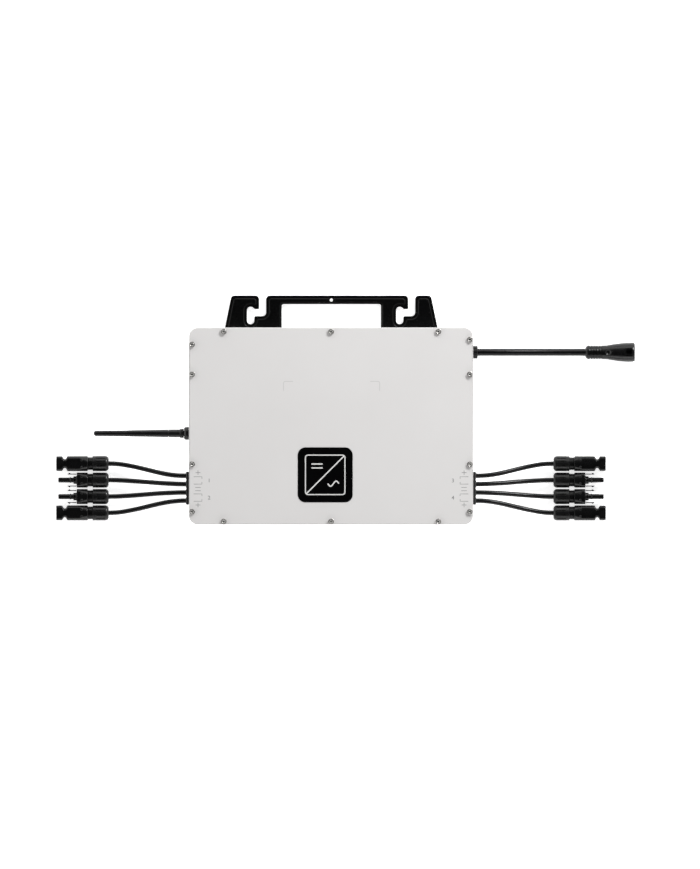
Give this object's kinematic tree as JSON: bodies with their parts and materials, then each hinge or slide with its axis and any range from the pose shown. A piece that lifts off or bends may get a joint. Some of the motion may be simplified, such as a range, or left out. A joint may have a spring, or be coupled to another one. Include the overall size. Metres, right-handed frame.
{
  "type": "panel-level solar inverter",
  "caption": "Flat die-cast solar inverter with a screwed front cover, hook bracket, whip antenna, short module leads on both sides and a mains lead.",
  "frame": {"origin": "middle of the housing in plan, on the plane of the rear fin tips", "axes": "+Z out of the front cover, +Y towards the mounting bracket, +X towards the side with the mains lead"},
  "size_m": [0.6743, 0.2668, 0.0386],
  "materials": {
    "housing": "cast, lightly bead-blasted",
    "cover": "smooth satin powder coat",
    "seal": "matt",
    "screws": "bright plated, lightly worn",
    "bracket": "semi-gloss black dip coat",
    "bracket_screws": "zinc plated",
    "antenna_metal": "black nickel",
    "antenna_sheath": "matt moulded",
    "gland": "moulded, fine texture",
    "grommet": "matt",
    "cable": "satin jacket",
    "connector": "moulded, half-gloss facets",
    "connector_arms": "moulded",
    "board": "solder resist",
    "ferrite": "ground ferrite",
    "copper": "enamelled wire",
    "relay": "moulded case",
    "capacitors": "shrink sleeve"
  },
  "bodies": {
    "housing": {"rear_housing": "housing", "front_cover": "cover", "cover_gasket": "seal", "cover_screw_01": "screws", "cover_screw_02": "screws", "cover_screw_03": "screws", "cover_screw_04": "screws", "cover_screw_05": "screws", "cover_screw_06": "screws", "cover_screw_07": "screws", "cover_screw_08": "screws", "cover_screw_09": "screws", "cover_screw_10": "screws", "cover_screw_11": "screws", "cover_screw_12": "screws", "cover_screw_13": "screws", "cover_screw_14": "screws", "mounting_bracket": "bracket", "bracket_screw_left": "bracket_screws", "bracket_screw_middle": "bracket_screws", "bracket_screw_right": "bracket_screws", "antenna_base": "antenna_metal", "ac_gland": "gland", "ac_cable": "cable", "ac_connector": "connector", "dc_grommet_left": "grommet", "dc_cable_left_1": "cable", "dc_connector_left_1": "connector", "dc_cable_left_2": "cable", "dc_connector_left_2": "connector", "dc_cable_left_3": "cable", "dc_connector_left_3": "connector", "dc_cable_left_4": "cable", "dc_connector_left_4": "connector", "dc_grommet_right": "grommet", "dc_cable_right_1": "cable", "dc_connector_right_1": "connector", "dc_cable_right_2": "cable", "dc_connector_right_2": "connector", "dc_cable_right_3": "cable", "dc_connector_right_3": "connector", "dc_cable_right_4": "cable", "dc_connector_right_4": "connector", "main_circuit_board": "board", "power_transformer_1": "ferrite", "power_transformer_2": "ferrite", "power_transformer_3": "ferrite", "power_transformer_4": "ferrite", "output_choke": "copper", "grid_relay": "relay", "capacitor_bank": "capacitors"},
    "antenna": {"antenna_whip": "antenna_sheath"},
    "snap_arm_left_2_upper": {"snap_arm_left_2_upper": "connector_arms"},
    "snap_arm_left_2_lower": {"snap_arm_left_2_lower": "connector_arms"},
    "snap_arm_left_3_upper": {"snap_arm_left_3_upper": "connector_arms"},
    "snap_arm_left_3_lower": {"snap_arm_left_3_lower": "connector_arms"},
    "snap_arm_right_2_upper": {"snap_arm_right_2_upper": "connector_arms"},
    "snap_arm_right_2_lower": {"snap_arm_right_2_lower": "connector_arms"},
    "snap_arm_right_3_upper": {"snap_arm_right_3_upper": "connector_arms"},
    "snap_arm_right_3_lower": {"snap_arm_right_3_lower": "connector_arms"}
  },
  "joints": [
    {"name": "antenna_turn", "type": "hinge", "parent": "housing", "child": "antenna", "pos_m": [-0.1763, -0.0086, 0.0215], "axis": [-1, 0, 0], "continuous": true},
    {"name": "arm_left_2_upper_flex", "type": "hinge", "parent": "housing", "child": "snap_arm_left_2_upper", "pos_m": [-0.2974, -0.056, 0.009], "axis": [0, 0, 1], "range_deg": [0, 8], "stiffness_Nm_per_rad": 0.3},
    {"name": "arm_left_2_lower_flex", "type": "hinge", "parent": "housing", "child": "snap_arm_left_2_lower", "pos_m": [-0.2974, -0.07, 0.009], "axis": [0, 0, -1], "range_deg": [0, 8], "stiffness_Nm_per_rad": 0.3},
    {"name": "arm_left_3_upper_flex", "type": "hinge", "parent": "housing", "child": "snap_arm_left_3_upper", "pos_m": [-0.2974, -0.0752, 0.009], "axis": [0, 0, 1], "range_deg": [0, 8], "stiffness_Nm_per_rad": 0.3},
    {"name": "arm_left_3_lower_flex", "type": "hinge", "parent": "housing", "child": "snap_arm_left_3_lower", "pos_m": [-0.2974, -0.0892, 0.009], "axis": [0, 0, -1], "range_deg": [0, 8], "stiffness_Nm_per_rad": 0.3},
    {"name": "arm_right_2_upper_flex", "type": "hinge", "parent": "housing", "child": "snap_arm_right_2_upper", "pos_m": [0.2974, -0.056, 0.009], "axis": [0, 0, -1], "range_deg": [0, 8], "stiffness_Nm_per_rad": 0.3},
    {"name": "arm_right_2_lower_flex", "type": "hinge", "parent": "housing", "child": "snap_arm_right_2_lower", "pos_m": [0.2974, -0.07, 0.009], "axis": [0, 0, 1], "range_deg": [0, 8], "stiffness_Nm_per_rad": 0.3},
    {"name": "arm_right_3_upper_flex", "type": "hinge", "parent": "housing", "child": "snap_arm_right_3_upper", "pos_m": [0.2974, -0.0752, 0.009], "axis": [0, 0, -1], "range_deg": [0, 8], "stiffness_Nm_per_rad": 0.3},
    {"name": "arm_right_3_lower_flex", "type": "hinge", "parent": "housing", "child": "snap_arm_right_3_lower", "pos_m": [0.2974, -0.0892, 0.009], "axis": [0, 0, 1], "range_deg": [0, 8], "stiffness_Nm_per_rad": 0.3}
  ]
}
